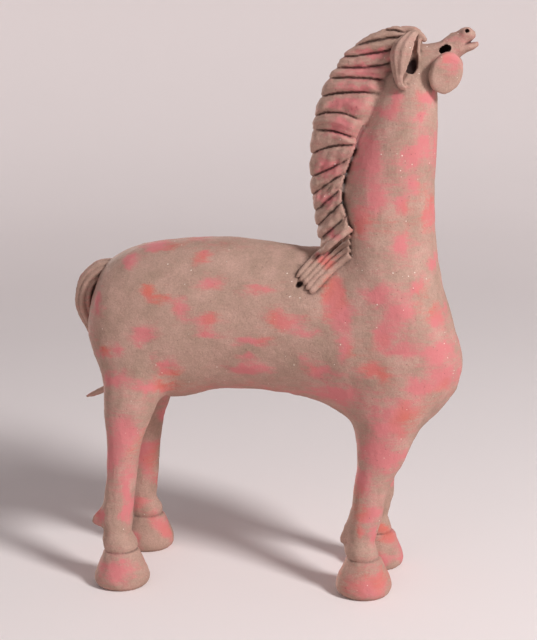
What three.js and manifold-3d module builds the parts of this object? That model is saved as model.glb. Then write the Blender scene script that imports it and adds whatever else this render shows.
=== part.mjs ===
// Haniwa-style clay horse, standing on four bell-shaped hooves, about half a metre tall.
// Millimetres, +X towards the head, +Y to the horse's left, +Z up, floor at z = 0.
import * as THREE from 'three';
import { mergeVertices } from 'three/addons/utils/BufferGeometryUtils.js';
import Module from 'manifold-3d';

// ---- driving dimensions -------------------------------------------------------------------
const HIND_HOOF_X = -130;
const FORE_HOOF_X = 94;
const FAR_FORE_LEAD = 7;        // the left fore hoof stands this far ahead of the right one
const HIND_SPREAD = 50;         // hoof centre to the middle plane
const FORE_SPREAD = 37;
const HOOF_RADIUS = 25.5;
const SOLE_RADIUS = 19.5;
const CORONET_RADIUS = 16.5;
const CORONET_HEIGHT = 33;
const CHEEK_RADIUS = 16.5;
const CHEEK_THICK = 9;
const MANE_LOCK_THICK = 9;
const MANE_SHEET_THICK = 6;
const THINNEST_LOCK = 6;
const LOCK_RISE = 3;           // how far the middle of a lock bows up
const FOLD_LOCKS = 5;
const FOLD_LOCK_THICK = 6;
const TAIL_STRANDS = 5;
const TAIL_SPREAD = 6;         // from the middle of the bundle to the middle of a roll
const TAIL_ROLL = 11.5;
const EAR_WALL = 3.5;
const EAR_FACES = 66;          // degrees that the mouth of the ear is turned forward
const EAR_WRAP = 288;          // degrees of the ear's round that the clay covers

// Torso and neck, as pairs of points on the back line and the under line, and the half
// width between them: back x, back z, under x, under z, half width.
const BODY = [
  [-166, 256, -168, 228, 12],
  [-161, 273, -161, 203, 32],
  [-148, 297, -143, 181, 46],
  [-122, 311, -118, 172, 53],
  [-82, 318, -82, 170, 55],
  [-38, 320.5, -40, 179, 52],
  [8, 316, 8, 178, 51],
  [42, 312.5, 50, 170, 52],
  [56, 316, 92, 149, 54],
  [62, 322, 132, 146, 56],
  [66, 329, 165, 174, 57],
  [66, 336, 177.5, 206, 56],
  [65, 345, 170, 243, 51],
  [64, 357, 157, 285, 46],
  [66, 374, 150.5, 326, 42],
  [72, 396, 149, 366, 39],
  [81, 421, 149.5, 402, 36.5],
  [92, 447, 150, 432, 33],
  [106, 470, 149, 455, 27],
  [121, 483, 146, 468, 18],
];

// Skull and upper jaw, in the same way.
const SKULL = [
  [116, 484, 130, 458, 14],
  [128, 491.5, 143, 455, 20],
  [141, 492.5, 155, 461, 19],
  [150, 494.5, 162, 471, 15],
  [156, 498.5, 167, 480, 11],
  [163, 502, 171, 486, 9.5],
  [169, 505.5, 173, 491, 9],
  [175, 506.5, 178, 495, 8.5],
  [180, 503, 180.5, 497, 5.5],
];
const LOWER_JAW = [
  [160, 490, 166, 480, 8],
  [170, 493, 173, 485.5, 7.5],
  [177, 494, 179, 488, 6.5],
  [183, 494, 183, 490, 4],
];

// Legs, from inside the body down to the pastern: z, x, distance from the middle plane,
// half depth, half width.
const HIND_LEG = [
  [232, -118, 22, 30, 24],
  [205, -119, 28, 29, 23.5],
  [180, -121, 35, 26.5, 20.5],
  [157, -124.5, 40, 21.5, 17],
  [140, -127, 42, 17.3, 15],
  [122, -128.6, 43.5, 14.7, 13.7],
  [100, -130.2, 45.5, 13.8, 13],
  [80, -132.5, 47, 14, 13.2],
  [62, -134, 48.5, 14, 13.5],
  [51, -134, 49.3, 13, 13],
  [43, -132, 49.8, 15.3, 15],
  [33, -131, 50, 16, 16],
  [20, -130, 50, 15, 15],
];
const FORE_LEG = [
  [215, 122, 20, 40, 30],
  [180, 118, 24, 37, 28],
  [155, 112, 27, 29, 24],
  [135, 109, 29.5, 24, 19],
  [118, 105.5, 31.5, 19.5, 16],
  [103, 100.5, 33, 16, 14],
  [88, 97.5, 34, 14.8, 13.3],
  [74, 95.7, 35, 15, 13.3],
  [60, 92.5, 36, 14, 13.3],
  [48, 91, 36.6, 12.7, 13],
  [41, 91, 37, 14.3, 14.5],
  [33, 92, 37, 15.5, 15.5],
  [20, 94, 37, 15, 15],
];

// Mane, as the creases between its locks: where each starts at the neck and where it ends at
// the free edge: root x, y, z, tip x, y, z.
const MANE_CREASES = [
  [126, -5, 502, 115, -5, 507],
  [126, -6, 500, 97, -5, 503],
  [125, -8, 498, 77, -5, 490.5],
  [123, -10, 491, 67, -5, 481.5],
  [114, -15, 477, 61, -6, 472],
  [106, -18, 461, 55, -6, 463],
  [104, -22, 449, 48, -6, 447],
  [88, -26, 425, 43, -7, 430],
  [81, -25, 411, 41, -9, 418],
  [80, -25, 406, 40, -9, 397],
  [76, -24, 395, 40, -10, 377],
  [71, -23, 381, 42, -12, 361],
  [68, -24, 368, 44, -14, 347],
  [69, -27, 356, 47, -18, 334],
  [73, -31, 344, 50, -23, 323],
  [76, -36, 332, 53, -29, 312],
];

// ---- shape helpers ------------------------------------------------------------------------
const vec = (x, y, z) => new THREE.Vector3(x, y, z);

// A smooth row of rows: each column of the table becomes one value of a running curve.
function rowAt(table, t) {
  const columns = table[0].length;
  const row = [];
  for (let c = 0; c < columns; c += 3) {
    const points = table.map((r) => vec(r[c], r[c + 1] ?? 0, r[c + 2] ?? 0));
    row.push(...new THREE.CatmullRomCurve3(points, false, 'catmullrom').getPoint(t).toArray());
  }
  return row.slice(0, columns);
}

// One closed ellipse of points about a centre, from its two half axes.
function ellipse(centre, a, b, sides) {
  const points = [];
  for (let i = 0; i < sides; i += 1) {
    const angle = (2 * Math.PI * i) / sides;
    points.push(centre.clone().addScaledVector(a, Math.cos(angle)).addScaledVector(b, Math.sin(angle)));
  }
  return points;
}

// A closed skin over a row of rings that have the same even number of points.
function loft(rings) {
  const sides = rings[0].length;
  const index = [];
  for (let r = 0; r + 1 < rings.length; r += 1) {
    for (let i = 0; i < sides; i += 1) {
      const j = (i + 1) % sides;
      const [a, b] = [r * sides + i, r * sides + j];
      index.push(a, b, b + sides, a, b + sides, a + sides);
    }
  }
  const last = (rings.length - 1) * sides;
  for (let k = 0; k < sides / 2 - 1; k += 1) {
    const [p, q, s, t] = [k, k + 1, sides - 2 - k, sides - 1 - k];
    index.push(p, s, q, p, t, s);
    index.push(last + p, last + q, last + s, last + p, last + s, last + t);
  }
  const geometry = new THREE.BufferGeometry();
  const points = rings.flat().flatMap((p) => p.toArray());
  geometry.setAttribute('position', new THREE.Float32BufferAttribute(points, 3));
  geometry.setIndex(index);
  return geometry;
}

// A limb between a back line and an under line that lie in the middle plane.
function profileLoft(table, rings, sides) {
  const skin = [];
  for (let r = 0; r <= rings; r += 1) {
    const [backX, backZ, underX, underZ, halfWidth] = rowAt(table, r / rings);
    const back = vec(backX, 0, backZ);
    const under = vec(underX, 0, underZ);
    const centre = back.clone().lerp(under, 0.5);
    skin.push(ellipse(centre, under.sub(centre), vec(0, halfWidth, 0), sides));
  }
  return loft(skin);
}

// A strap of clay along a curve: width across the given face normal, thickness along it.
function strap(curve, normal, width, thick, rings, sides) {
  const skin = [];
  for (let r = 0; r <= rings; r += 1) {
    const t = r / rings;
    const tangent = curve.getTangent(t);
    const across = tangent.clone().cross(normal).normalize();
    const up = across.clone().cross(tangent).normalize();
    across.multiplyScalar(width(t) / 2);
    skin.push(ellipse(curve.getPoint(t), across, up.multiplyScalar(thick(t) / 2), sides));
  }
  return loft(skin);
}

// ---- solids -------------------------------------------------------------------------------
const wasm = await Module();
wasm.setup();

function solid(geometry) {
  const bare = geometry.clone();
  bare.deleteAttribute('normal');
  bare.deleteAttribute('uv');
  const merged = mergeVertices(bare, 1e-4);
  const p = merged.attributes.position;
  const tri = Uint32Array.from(merged.index.array);
  const corner = [vec(0, 0, 0), vec(0, 0, 0), vec(0, 0, 0)];
  let volume = 0;
  for (let i = 0; i < tri.length; i += 3) {
    corner.forEach((c, k) => c.fromBufferAttribute(p, tri[i + k]));
    volume += corner[0].dot(corner[1].clone().cross(corner[2]));
  }
  if (volume < 0) tri.reverse();
  return new wasm.Manifold(new wasm.Mesh({
    numProp: 3,
    vertProperties: Float32Array.from(p.array),
    triVerts: tri,
  }));
}

// The outer skin alone: pockets shut in between joined rolls of clay are filled.
function outerSkin(manifold) {
  const { vertProperties, triVerts } = manifold.getMesh();
  const owner = Array.from({ length: vertProperties.length / 3 }, (_, i) => i);
  const find = (i) => {
    let at = i;
    while (owner[at] !== at) at = owner[at];
    owner[i] = at;
    return at;
  };
  for (let i = 0; i < triVerts.length; i += 3) {
    owner[find(triVerts[i + 1])] = find(triVerts[i]);
    owner[find(triVerts[i + 2])] = find(triVerts[i]);
  }
  let highest = 0;
  owner.forEach((_, i) => {
    if (vertProperties[3 * i + 2] > vertProperties[3 * highest + 2]) highest = i;
  });
  const geometry = new THREE.BufferGeometry();
  geometry.setAttribute('position', new THREE.BufferAttribute(vertProperties, 3));
  geometry.setIndex(Array.from(triVerts).filter((v) => find(v) === find(highest)));
  return geometry;
}

// A thrown bell hoof with a rounded lower edge and a flat sole.
function hoof(x, y) {
  const outline = [
    [0, 0],
    [SOLE_RADIUS, 0],
    [HOOF_RADIUS - 1.2, 3.5],
    [HOOF_RADIUS, 9],
    [HOOF_RADIUS - 3.5, 19],
    [CORONET_RADIUS + 0.6, CORONET_HEIGHT - 2],
    [CORONET_RADIUS - 1.6, CORONET_HEIGHT],
    [0, CORONET_HEIGHT],
  ];
  const bell = new THREE.LatheGeometry(outline.map(([r, z]) => new THREE.Vector2(r, z)), 15);
  return bell.rotateX(Math.PI / 2).translate(x, y, 0);
}

// One leg with its hoof and the flap of clay behind the fetlock. side is +1 on the left.
function leg(table, side, hoofX, lead, spurRoot, spurTip) {
  const skin = [];
  const rings = 11;
  for (let r = 0; r <= rings; r += 1) {
    const [z, x, y, deep, wide] = rowAt(table, r / rings);
    const shift = lead * THREE.MathUtils.smoothstep(160 - z, 0, 120);
    skin.push(ellipse(vec(x + shift, side * y, z), vec(deep, 0, 0), vec(0, wide, 0), 12));
  }
  const footY = side * table.at(-1)[2];
  const spurY = side * (Math.abs(footY) - 1);
  const spurPath = new THREE.LineCurve3(
    vec(spurRoot[0] + lead, spurY, spurRoot[1]),
    vec(spurTip[0] + lead, spurY, spurTip[1]),
  );
  const taper = (t) => 20 - 14 * t;
  const spur = strap(spurPath, vec(0, 1, 0), taper, (t) => 11 - 5 * t, 2, 8);
  return solid(loft(skin)).add(solid(hoof(hoofX + lead, footY))).add(solid(spur));
}

// A round coin of clay pressed on each cheek.
function cheek(side) {
  const coin = new THREE.CylinderGeometry(CHEEK_RADIUS, CHEEK_RADIUS - 0.5, CHEEK_THICK, 18);
  coin.scale(0.95, 1, 1.02).rotateZ(0.08).translate(0, side * 21, 0);
  return solid(coin.translate(157.5, 0, 467));
}

// A leaf of clay rolled into a scoop that opens forward, hanging with its tip curled.
function ear(side) {
  const leaf = [
    [131, 12, 500, 5],
    [127, 17, 494, 9],
    [122.5, 22, 484, 12.3],
    [120.5, 26, 472, 10],
    [119, 29, 463, 6],
    [120, 31, 457.5, 3.8],
    [123, 32, 455, 2.6],
  ];
  const axis = new THREE.CatmullRomCurve3(leaf.map(([x, y, z]) => vec(x, side * y, z)));
  const facing = THREE.MathUtils.degToRad(EAR_FACES);
  const open = vec(Math.sin(facing), side * Math.cos(facing), 0);
  const skin = [];
  const arcSteps = 8;
  leaf.forEach(([, , , radius], r) => {
    const t = r / (leaf.length - 1);
    const tangent = axis.getTangent(t);
    const across = tangent.clone().cross(open).normalize();
    const front = across.clone().cross(tangent).normalize();
    if (front.dot(open) < 0) front.negate();
    const arc = (r2) => Array.from({ length: arcSteps }, (_, k) => {
      const angle = THREE.MathUtils.degToRad(EAR_WRAP * (k / (arcSteps - 1) - 0.5));
      const point = axis.getPoint(t).addScaledVector(front, -r2 * Math.cos(angle));
      return point.addScaledVector(across, r2 * Math.sin(angle));
    });
    skin.push([...arc(radius), ...arc(radius - Math.min(EAR_WALL, radius * 0.6)).reverse()]);
  });
  return solid(loft(skin));
}

// A sheet that stands up along the neck, with a row of locks pinched out of it side by side.
function mane() {
  const sheet = [];
  const rows = MANE_CREASES.map((row) => [vec(...row.slice(0, 3)), vec(...row.slice(3))]);
  rows.forEach(([root, tip]) => {
    const centre = root.clone().lerp(tip, 0.5);
    sheet.push(ellipse(centre, root.clone().sub(centre), vec(0, MANE_SHEET_THICK / 2, 0), 6));
  });
  const pieces = [solid(loft(sheet))];
  for (let i = 0; i + 1 < rows.length; i += 1) {
    const [upper, lower] = [rows[i], rows[i + 1]];
    const root = upper[0].clone().lerp(lower[0], 0.5);
    const tip = upper[1].clone().lerp(lower[1], 0.5).lerp(root, 0.04);
    const middle = root.clone().lerp(tip, 0.5).add(vec(0, -2, LOCK_RISE));
    const path = new THREE.QuadraticBezierCurve3(root, middle, tip);
    const along = tip.clone().sub(root).normalize();
    const gap = (end) => lower[end].clone().sub(upper[end]).cross(along).length();
    const width = (s) => Math.max(THINNEST_LOCK, THREE.MathUtils.lerp(gap(0), gap(1), s));
    pieces.push(solid(strap(path, vec(0, 1, 0), width, () => MANE_LOCK_THICK, 3, 6)));
  }
  return wasm.Manifold.union(pieces);
}

// The last locks of the mane, turned over onto the right shoulder.
function maneFold() {
  const locks = [];
  for (let i = 0; i < FOLD_LOCKS; i += 1) {
    const path = new THREE.CatmullRomCurve3([
      vec(78, -35 - 0.3 * i, 335 - 6 * i),
      vec(56 + 1.5 * i, -35 - 0.8 * i, 316 - 4.6 * i),
      vec(31 + 3.3 * i, -38 - 1.8 * i, 291 - 3.1 * i),
    ]);
    const width = (t) => FOLD_LOCK_THICK - t;
    locks.push(solid(strap(path, vec(0, 1, 0), width, () => FOLD_LOCK_THICK + 2, 2, 6)));
  }
  return wasm.Manifold.union(locks);
}

// Rolls of clay that arch off the rump, lie down its left side and end in a free tip.
function tail() {
  const core = [
    [-134, 0, 293],
    [-157, 0, 289],
    [-173, 1, 275],
    [-177, 5, 253],
    [-169, 18, 224],
    [-159, 33, 198],
    [-157, 42, 178],
    [-168, 47, 163],
    [-190, 51, 152],
  ];
  const straps = [];
  for (let i = 0; i < TAIL_STRANDS; i += 1) {
    const angle = (2 * Math.PI * (i + 0.25)) / TAIL_STRANDS;
    const spread = (k) => TAIL_SPREAD * (1 - k / (core.length - 1));
    const path = new THREE.CatmullRomCurve3(core.map(([x, y, z], k) => vec(
      x + spread(k) * Math.cos(angle),
      y + 1.6 * spread(k) * Math.sin(angle),
      z + spread(k) * Math.cos(angle) * Math.cos((Math.PI * k) / 4),
    )));
    const width = (t) => TAIL_ROLL * (1 - 0.5 * t * t);
    straps.push(solid(strap(path, vec(0, 1, 0), width, width, 9, 5)));
  }
  return wasm.Manifold.union(straps);
}

// A short roll laid along the poll, ending in a nub over the brow.
function poll() {
  const path = new THREE.CatmullRomCurve3([
    vec(117, -7, 503),
    vec(127, -8.5, 502.5),
    vec(134, -10, 499.5),
    vec(139, -12, 493.5),
  ]);
  const width = (t) => 7.5 - 2.5 * t;
  return solid(strap(path, vec(0, 1, 0), width, width, 4, 6));
}

// Pits that are cut out of the clay: eyes and nostrils.
function pit(x, y, z, radii, tilt) {
  const ball = new THREE.SphereGeometry(1, 9, 6);
  ball.scale(...radii).rotateY(-tilt).translate(x, y, z);
  return solid(ball);
}

// ---- the horse ----------------------------------------------------------------------------
const parts = [
  solid(profileLoft(BODY, 26, 21)),
  solid(profileLoft(SKULL, 11, 12)),
  solid(profileLoft(LOWER_JAW, 4, 8)),
  mane(),
  maneFold(),
  tail(),
  poll(),
];
const holes = [];
for (const side of [-1, 1]) {
  const foreLead = side > 0 ? FAR_FORE_LEAD : 0;
  parts.push(leg(HIND_LEG, side, HIND_HOOF_X, 0, [-136, 68], [-152, 56]));
  parts.push(leg(FORE_LEG, side, FORE_HOOF_X, foreLead, [90, 68], [77, 50]));
  parts.push(cheek(side), ear(side));
  holes.push(pit(155, side * 13.5, 487.3, [5.2, 8, 3.3], 0.5));
  holes.push(pit(173.3, side * 7.5, 503, [1.9, 4, 1.7], 0.4));
}
const horse = wasm.Manifold.union(parts).subtract(wasm.Manifold.union(holes));

const clay = new THREE.MeshStandardMaterial({ color: 0xb08d80, roughness: 0.95, metalness: 0 });
const mesh = new THREE.Mesh(outerSkin(horse), clay);
mesh.name = 'haniwa_horse';

// The origin is moved to the middle of the footprint, on the floor.
const group = new THREE.Group();
group.add(mesh);
mesh.geometry.computeBoundingBox();
const middle = mesh.geometry.boundingBox.getCenter(vec(0, 0, 0));
mesh.position.set(-middle.x, -middle.y, 0);

export default group;
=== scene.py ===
import math

import bpy
import numpy as np
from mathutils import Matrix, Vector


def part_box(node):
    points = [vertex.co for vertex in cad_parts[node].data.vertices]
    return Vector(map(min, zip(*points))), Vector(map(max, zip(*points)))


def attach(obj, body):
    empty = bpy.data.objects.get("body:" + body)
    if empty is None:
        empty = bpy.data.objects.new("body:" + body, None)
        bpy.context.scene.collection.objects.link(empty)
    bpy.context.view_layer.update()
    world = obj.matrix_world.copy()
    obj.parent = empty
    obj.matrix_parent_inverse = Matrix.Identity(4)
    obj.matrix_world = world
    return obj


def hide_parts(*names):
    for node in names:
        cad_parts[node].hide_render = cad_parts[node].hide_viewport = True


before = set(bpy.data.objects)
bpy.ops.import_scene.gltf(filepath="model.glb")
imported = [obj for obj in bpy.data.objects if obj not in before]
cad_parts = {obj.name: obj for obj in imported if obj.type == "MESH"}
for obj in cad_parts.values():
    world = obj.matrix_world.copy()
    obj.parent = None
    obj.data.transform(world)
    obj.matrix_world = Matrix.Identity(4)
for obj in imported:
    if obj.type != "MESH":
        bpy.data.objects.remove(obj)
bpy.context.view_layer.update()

import openvdb
from mathutils import Vector, noise

# ---- Fired clay ---------------------------------------------------------------------------
# Coarse earthenware, full of pale grog, fired matte and then rubbed with a thin red slip that
# stays in brushed patches. Shade is painted dark into the grooves, holes and pits.
MM = 0.001


def linear(hex_colour):
    """An sRGB hex colour as the linear values that a shader wants."""
    channels = [int(hex_colour[i : i + 2], 16) / 255 for i in (1, 3, 5)]
    return (*[c / 12.92 if c <= 0.04045 else ((c + 0.055) / 1.055) ** 2.4 for c in channels], 1)


def node(tree, kind, inputs=(), **settings):
    """One node with its settings; each input takes a value or another node's output.

    On a colour mix, sockets 0, 6 and 7 are the amount, the colour under it and the one over it,
    and output 2 is the result.
    """
    made = tree.nodes.new(kind)
    for name, value in settings.items():
        setattr(made, name, value)
    for socket, value in dict(inputs).items():
        if isinstance(value, bpy.types.NodeSocket):
            tree.links.new(value, made.inputs[socket])
        else:
            made.inputs[socket].default_value = value
    return made


CLAY_PALE = linear("#b59285")
CLAY_GREY = linear("#9a7f70")
SLIP_ROSE = linear("#c97276")
SLIP_BRICK = linear("#c45f4c")
# the dark colour of the painted shade in creases, enclosed places, holes and pits
PAINTED_SHADE = linear("#2a1a18")
GROG_PALE = linear("#e9dccf")
SMOKE_CLOUD = 22 * MM  # how wide the grey clouds from the firing are
BRUSH_LONG, BRUSH_HIGH = 15 * MM, 3.5 * MM  # one streak of the brush
BRICK_CLOUD = 50 * MM  # how wide the areas of redder slip are
GRAIN = 1.4 * MM
GROG_SPACING = 4.5 * MM
GROG_CROWD = 38 * MM  # how wide the areas rich in grog are
PIT_SPACING = 3.6 * MM
PADDLE_LUMP = 3.5 * MM
SURFACE_DEPTH = 0.9 * MM  # from the bottom of a pit to the top of a grain


def grogged_earthenware():
    """Matte fired clay: clouded grey-beige body, brushed red slip, pale grog, small pits and painted shade
    in the hollows.
    """
    clay = bpy.data.materials.new("grogged_earthenware_red_slip")
    clay.use_nodes = True
    tree = clay.node_tree
    shader = tree.nodes["Principled BSDF"]
    place = node(tree, "ShaderNodeTexCoord").outputs["Object"]
    slip = node(tree, "ShaderNodeAttribute", attribute_name="slip").outputs["Fac"]
    # painted shade for the creases, enclosed places and holes, worked out on the mesh
    painted_shade_mask = node(tree, "ShaderNodeAttribute", attribute_name="painted_shade_mask").outputs["Fac"]
    ridge = node(tree, "ShaderNodeAttribute", attribute_name="ridge").outputs["Fac"]

    cloud = {"Vector": place, "Scale": 1 / SMOKE_CLOUD, "Detail": 5, "Roughness": 0.65}
    cloud = node(tree, "ShaderNodeTexNoise", cloud).outputs["Fac"]
    cloud = {"Value": cloud, "From Min": 0.3, "From Max": 0.7}
    cloud = node(tree, "ShaderNodeMapRange", cloud).outputs["Result"]
    body = node(tree, "ShaderNodeMix", {0: cloud, 6: CLAY_GREY, 7: CLAY_PALE}, data_type="RGBA")

    grain = {"Vector": place, "Scale": 1 / GRAIN, "Detail": 3, "Roughness": 0.7}
    grain = node(tree, "ShaderNodeTexNoise", grain).outputs["Fac"]
    grain = {"Value": grain, "From Min": 0.3, "From Max": 0.7}
    grain = node(tree, "ShaderNodeMapRange", grain).outputs["Result"]
    salted = {0: 0.16, 6: body.outputs[2], 7: grain}
    salted = node(tree, "ShaderNodeMix", salted, data_type="RGBA", blend_type="OVERLAY").outputs[2]

    # The slip runs in short level streaks and breaks up where the brush skipped over the grain.
    stretch = (1 / BRUSH_LONG, 1 / BRUSH_LONG, 1 / BRUSH_HIGH)
    streaks = node(tree, "ShaderNodeVectorMath", {0: place, 1: stretch}, operation="MULTIPLY")
    streaks = {"Vector": streaks.outputs[0], "Scale": 1.0, "Detail": 5, "Roughness": 0.7}
    streaks = node(tree, "ShaderNodeTexNoise", streaks).outputs["Fac"]
    skip = {0: grain, 1: 0.18, 2: streaks}
    skip = node(tree, "ShaderNodeMath", skip, operation="MULTIPLY_ADD").outputs[0]
    skip = {0: skip, 1: -1.3, 2: slip}
    skip = node(tree, "ShaderNodeMath", skip, operation="MULTIPLY_ADD").outputs[0]
    worn = {"Value": skip, "From Min": -0.66, "From Max": 0.14, "To Max": 0.84}
    worn = node(tree, "ShaderNodeMapRange", worn, interpolation_type="SMOOTHSTEP").outputs["Result"]
    brick = {"Vector": place, "Scale": 1 / BRICK_CLOUD, "Detail": 2}
    brick = node(tree, "ShaderNodeTexNoise", brick).outputs["Fac"]
    brick = {"Value": brick, "From Min": 0.5, "From Max": 0.68, "To Max": 0.8}
    brick = node(tree, "ShaderNodeMapRange", brick).outputs["Result"]
    colour = {0: brick, 6: SLIP_ROSE, 7: SLIP_BRICK}
    colour = node(tree, "ShaderNodeMix", colour, data_type="RGBA").outputs[2]
    coat = node(tree, "ShaderNodeMix", {0: worn, 6: salted, 7: colour}, data_type="RGBA").outputs[2]

    # High edges are rubbed back to pale clay, and painted shade darkens the hollows.
    rubbed = node(tree, "ShaderNodeMath", {0: ridge, 1: 0.3}, operation="MULTIPLY").outputs[0]
    coat = node(tree, "ShaderNodeMix", {0: rubbed, 6: coat, 7: CLAY_PALE}, data_type="RGBA").outputs[2]
    coat = node(tree, "ShaderNodeMix", {0: painted_shade_mask, 6: coat, 7: PAINTED_SHADE}, data_type="RGBA").outputs[2]

    # The grog shows as pale grains, thick in some places and missing in others.
    grog = node(tree, "ShaderNodeTexVoronoi", {"Vector": place, "Scale": 1 / GROG_SPACING})
    pick = node(tree, "ShaderNodeSeparateColor", {"Color": grog.outputs["Color"]}).outputs
    crowd = {"Vector": place, "Scale": 1 / GROG_CROWD, "Detail": 2}
    crowd = node(tree, "ShaderNodeTexNoise", crowd).outputs["Fac"]
    crowd = {"Value": crowd, "From Min": 0.46, "From Max": 0.7, "To Min": 0.985, "To Max": 0.5}
    crowd = node(tree, "ShaderNodeMapRange", crowd).outputs["Result"]
    chosen = node(tree, "ShaderNodeMath", {0: pick["Red"], 1: crowd}, operation="GREATER_THAN").outputs[0]
    edge = {0: pick["Green"], 1: -0.1, 2: grog.outputs["Distance"]}
    edge = node(tree, "ShaderNodeMath", edge, operation="MULTIPLY_ADD").outputs[0]
    top = {"Value": edge, "From Min": 0.07, "From Max": 0.02}
    top = node(tree, "ShaderNodeMapRange", top).outputs["Result"]
    top = node(tree, "ShaderNodeMath", {0: top, 1: chosen}, operation="MULTIPLY").outputs[0]
    shown = node(tree, "ShaderNodeMath", {0: top, 1: 0.75}, operation="MULTIPLY").outputs[0]
    coat = node(tree, "ShaderNodeMix", {0: shown, 6: coat, 7: GROG_PALE}, data_type="RGBA").outputs[2]

    # Small pits, one cell in five, painted dark as the shade inside them.
    pits = node(tree, "ShaderNodeTexVoronoi", {"Vector": place, "Scale": 1 / PIT_SPACING})
    pick = node(tree, "ShaderNodeSeparateColor", {"Color": pits.outputs["Color"]}).outputs
    chosen = node(tree, "ShaderNodeMath", {0: pick["Blue"], 1: 0.8}, operation="GREATER_THAN").outputs[0]
    pit = {"Value": pits.outputs["Distance"], "From Min": 0.16, "From Max": 0.06}
    pit = node(tree, "ShaderNodeMapRange", pit).outputs["Result"]
    pit = node(tree, "ShaderNodeMath", {0: pit, 1: chosen}, operation="MULTIPLY").outputs[0]
    shown = node(tree, "ShaderNodeMath", {0: pit, 1: 0.5}, operation="MULTIPLY").outputs[0]
    coat = node(tree, "ShaderNodeMix", {0: shown, 6: coat, 7: PAINTED_SHADE}, data_type="RGBA").outputs[2]
    tree.links.new(coat, shader.inputs["Base Color"])

    rough = node(tree, "ShaderNodeMapRange", {"Value": grain, "To Min": 0.82, "To Max": 0.97})
    tree.links.new(rough.outputs["Result"], shader.inputs["Roughness"])
    shader.inputs["Specular IOR Level"].default_value = 0.25

    lumps = {"Vector": place, "Scale": 1 / PADDLE_LUMP, "Detail": 3}
    lumps = node(tree, "ShaderNodeTexNoise", lumps).outputs["Fac"]
    height = lumps
    for mark, part in ((grain, 0.3), (top, 0.6), (pit, -0.6)):
        height = {0: mark, 1: part, 2: height}
        height = node(tree, "ShaderNodeMath", height, operation="MULTIPLY_ADD").outputs[0]
    bump = node(tree, "ShaderNodeBump", {"Height": height, "Strength": 0.5, "Distance": SURFACE_DEPTH})
    tree.links.new(bump.outputs["Normal"], shader.inputs["Normal"])
    return clay


fired_clay = grogged_earthenware()

# ---- Body and neck ------------------------------------------------------------------------
# One hollow form, coiled and paddled, that runs from the rump to the chest and is drawn up
# into the long neck. Every other part is pressed onto it while the clay is wet.
LIP_AHEAD = 183.0  # from the plumb line through the belly, where every x and y starts, in mm
GRIT = 1.1  # the smallest detail that the clay holds, in mm
SPARE = 8.0  # mm of clay volume left around the figure
FAR = 99.0  # the distance kept where no form is near
REACH = 18.0  # how far off a form its distance is known, and the widest join
BAND_CELLS = 3.0  # the fewest cells over which a form's distance is worked out
BODY_RINGS = 140
BACK_AND_BELLY = [  # back x, back z, belly x, belly z, half width
    (-166, 256, -168, 228, 12),
    (-161, 273, -161, 203, 32),
    (-148, 297, -143, 181, 46),
    (-122, 311, -118, 172, 53),
    (-82, 318, -82, 170, 55),
    (-38, 320.5, -40, 179, 52),
    (8, 316, 8, 178, 51),
    (42, 312.5, 50, 170, 52),
    (56, 316, 92, 149, 54),
    (62, 322, 132, 146, 56),
    (66, 329, 165, 174, 57),
    (66, 336, 177.5, 206, 56),
    (65, 345, 170, 243, 51),
    (64, 357, 157, 285, 46),
    (66, 374, 150.5, 326, 42),
    (72, 396, 149, 366, 39),
    (81, 421, 149.5, 402, 36.5),
    (92, 447, 150, 432, 33),
    (106, 470, 149, 455, 27),
    (121, 483, 146, 468, 18),
]

low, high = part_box("haniwa_horse")
plumb = Vector((high.x - LIP_AHEAD * MM, (low.y + high.y) / 2, low.z))
size_mm = np.array((high - low) / MM)
corner_mm = np.array((low - plumb) / MM) - SPARE
clay_origin = np.floor(corner_mm / GRIT).astype(int)
clay_shape = np.ceil((size_mm + 2 * SPARE) / GRIT).astype(int)
lump = np.full(clay_shape, FAR, np.float32)
under_skin = np.zeros(clay_shape, np.float32)


def flowing(table, count):
    """Rows on smooth curves through the rows of a table."""
    rows = np.array(table, float)
    rows = np.vstack([2 * rows[0] - rows[1], rows, 2 * rows[-1] - rows[-2]])
    at = np.linspace(0, len(table) - 1, count)
    i = np.minimum(at.astype(int), len(table) - 2)
    t = (at - i)[:, None]
    a, b, c, d = rows[i], rows[i + 1], rows[i + 2], rows[i + 3]
    return 0.5 * (2 * b + (c - a) * t + (2 * a - 5 * b + 4 * c - d) * t**2 + (3 * b - a - 3 * c + d) * t**3)


def ovals(centres, a, b, sides=64):
    """One oval of points about each centre, from its two half axes."""
    turn = np.linspace(0, 2 * math.pi, sides, endpoint=False)[None, :, None]
    return centres[:, None] + a[:, None] * np.cos(turn) + b[:, None] * np.sin(turn)


def skin(rings):
    """A closed form over a row of rings: its points and its triangles."""
    count, sides = rings.shape[:2]
    r, s = np.meshgrid(np.arange(count - 1), np.arange(sides), indexing="ij")
    a, b = (r * sides + s).ravel(), (r * sides + (s + 1) % sides).ravel()
    walls = np.vstack([np.stack([a, b, b + sides], 1), np.stack([a, b + sides, a + sides], 1)])
    edge = np.arange(sides)
    after = (edge + 1) % sides
    first, last = count * sides, count * sides + 1
    end = (count - 1) * sides
    caps = [np.stack([after, edge, np.full(sides, first)], 1)]
    caps.append(np.stack([edge + end, after + end, np.full(sides, last)], 1))
    points = np.vstack([rings.reshape(-1, 3), rings[0].mean(0), rings[-1].mean(0)])
    return points, np.vstack([walls, *caps])


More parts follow.
